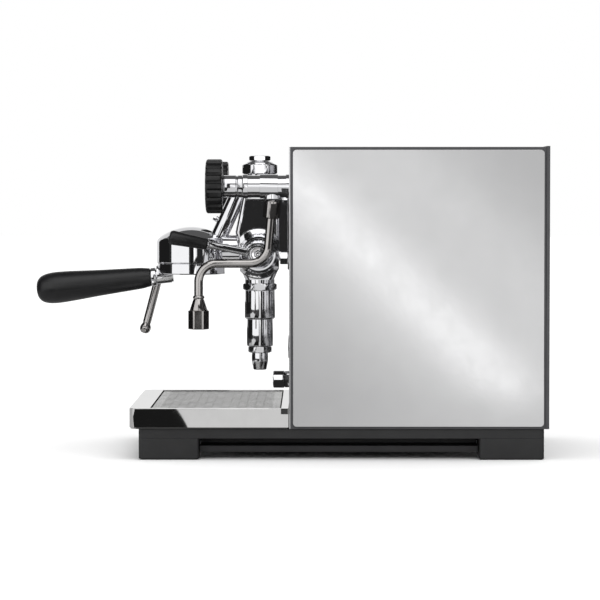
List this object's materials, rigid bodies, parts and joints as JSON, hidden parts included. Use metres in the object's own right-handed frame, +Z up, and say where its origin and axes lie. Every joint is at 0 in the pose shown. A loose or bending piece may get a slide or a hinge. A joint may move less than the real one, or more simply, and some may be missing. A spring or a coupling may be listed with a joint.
{
  "type": "espresso machine",
  "caption": "Lever-group espresso machine with a box casing, fluted steam and water valves, swinging wands, a locking portafilter and a sliding drip tray.",
  "frame": {"origin": "on the floor, in the middle of the width, below the face of the front panel", "axes": "+X to the operator's right, +Y to the back, +Z up"},
  "size_m": [0.28, 0.5657, 0.338],
  "materials": {
    "painted_base": "satin powder coat",
    "painted_pan": "satin powder coat",
    "painted_frame": "satin",
    "painted_rear": "satin",
    "rubber_pads": "matte",
    "polished_steel": "polished",
    "brushed_side": "satin",
    "screw_steel": "satin",
    "inner_steel": "satin",
    "tank_plastic": "translucent",
    "tray_steel": "polished",
    "grate_steel": "brushed",
    "group_chrome": "mirror polish",
    "gasket_rubber": "matte",
    "black_grip": "fine satin",
    "black_knob": "satin",
    "black_button": "gloss",
    "wand_steel": "polished",
    "gauge_dial": "satin",
    "needle_paint": "satin",
    "copper": "satin copper",
    "brass": "satin",
    "pump_housing": "matte",
    "control_plastic": "matte"
  },
  "bodies": {
    "machine": {"base_frame": "painted_base", "pedestal_feet": "painted_base", "foot_pads": "rubber_pads", "chassis_pan": "painted_pan", "body_frame": "painted_frame", "front_panel": "polished_steel", "rear_panel": "painted_rear", "side_panel_left": "brushed_side", "side_panel_right": "brushed_side", "panel_screws": "screw_steel", "top_plate": "inner_steel", "group_flange": "group_chrome", "flange_nuts": "group_chrome", "group_body": "group_chrome", "group_bell": "group_chrome", "group_gasket": "gasket_rubber", "shower_screen": "inner_steel", "neck_plug": "group_chrome", "top_nut": "group_chrome", "top_cap": "group_chrome", "cam_cover": "group_chrome", "upper_chamber": "group_chrome", "lower_chamber": "group_chrome", "discharge_nozzle": "group_chrome", "valve_bodies": "group_chrome", "valve_bonnets": "group_chrome", "drain_plug": "group_chrome", "gauge_body": "gauge_dial", "boiler": "copper", "heating_element": "brass", "safety_valve": "brass", "pump": "pump_housing", "control_box": "control_plastic", "copper_pipes": "copper", "mains_inlet": "black_button"},
    "lever": {"camshaft": "group_chrome", "lever_rod": "group_chrome", "lever_grip": "black_grip"},
    "brew_stem": {"brew_valve_stem": "brass"},
    "portafilter": {"portafilter_body": "group_chrome", "portafilter_ferrule": "group_chrome", "portafilter_grip": "black_grip", "filter_basket": "inner_steel"},
    "steam_knob": {"steam_knob": "black_knob", "steam_spindle": "screw_steel"},
    "water_knob": {"water_knob": "black_knob", "water_spindle": "screw_steel"},
    "steam_ball": {"steam_ball": "group_chrome"},
    "water_ball": {"water_ball": "group_chrome"},
    "steam_wand": {"steam_wand": "wand_steel", "steam_tip": "wand_steel"},
    "water_wand": {"water_wand": "wand_steel", "water_nozzle": "wand_steel"},
    "drip_tray": {"drip_tray": "tray_steel"},
    "drip_grate": {"drip_grate": "grate_steel"},
    "cup_tray": {"cup_tray": "polished_steel"},
    "tank": {"water_tank": "tank_plastic"},
    "tank_lid": {"tank_lid": "polished_steel"},
    "power_button": {"power_button": "black_button"},
    "gauge_needle": {"gauge_needle": "needle_paint"}
  },
  "joints": [
    {"name": "lever_lift", "type": "hinge", "parent": "machine", "child": "lever", "pos_m": [0, -0.035, 0.22], "axis": [-1, 0, 0], "range_deg": [-45, 30]},
    {"name": "brew_stem_slide", "type": "slide", "parent": "machine", "child": "brew_stem", "axis": [0, 0, 1], "range_m": [-0.0025, 0.0017]},
    {"name": "portafilter_turn", "type": "hinge", "parent": "machine", "child": "portafilter", "pos_m": [0, -0.111, 0.209], "axis": [0, 0, 1], "range_deg": [-45, 0]},
    {"name": "steam_knob_turn", "type": "hinge", "parent": "machine", "child": "steam_knob", "pos_m": [-0.103, -0.08, 0.2948], "axis": [0, -1, 0], "range_deg": [0, 300]},
    {"name": "water_knob_turn", "type": "hinge", "parent": "machine", "child": "water_knob", "pos_m": [0.103, -0.08, 0.2948], "axis": [0, -1, 0], "range_deg": [0, 300]},
    {"name": "steam_wand_swing", "type": "hinge", "parent": "machine", "child": "steam_ball", "pos_m": [-0.103, -0.0184, 0.287], "axis": [0, 0, 1], "range_deg": [-80, 0]},
    {"name": "steam_wand_tilt", "type": "hinge", "parent": "steam_ball", "child": "steam_wand", "pos_m": [-0.103, -0.0184, 0.287], "axis": [1, 0, 0], "range_deg": [-8, 8]},
    {"name": "water_wand_swing", "type": "hinge", "parent": "machine", "child": "water_ball", "pos_m": [0.103, -0.0184, 0.287], "axis": [0, 0, 1], "range_deg": [0, 80]},
    {"name": "water_wand_tilt", "type": "hinge", "parent": "water_ball", "child": "water_wand", "pos_m": [0.103, -0.0184, 0.287], "axis": [1, 0, 0], "range_deg": [-8, 8]},
    {"name": "drip_tray_slide", "type": "slide", "parent": "machine", "child": "drip_tray", "axis": [0, -1, 0], "range_m": [0, 0.165]},
    {"name": "drip_grate_lift", "type": "slide", "parent": "drip_tray", "child": "drip_grate", "axis": [0, 0, 1], "range_m": [0, 0.016]},
    {"name": "cup_tray_lift", "type": "slide", "parent": "machine", "child": "cup_tray", "axis": [0, 0, 1], "range_m": [0, 0.06]},
    {"name": "tank_lift", "type": "slide", "parent": "machine", "child": "tank", "axis": [0, 0, 1], "range_m": [0, 0.31]},
    {"name": "tank_lid_lift", "type": "slide", "parent": "tank", "child": "tank_lid", "axis": [0, 0, 1], "range_m": [0, 0.04]},
    {"name": "power_button_press", "type": "slide", "parent": "machine", "child": "power_button", "axis": [0, 1, 0], "range_m": [0, 0.0015], "stiffness_N_per_m": 400},
    {"name": "gauge_needle_turn", "type": "hinge", "parent": "machine", "child": "gauge_needle", "pos_m": [-0.062, 0.0025, 0.235], "axis": [0, 1, 0], "range_deg": [0, 240]}
  ],
  "couplings": [
    {"joint": "brew_stem_slide", "follows": "lever_lift", "m_per_rad": 0.003}
  ]
}
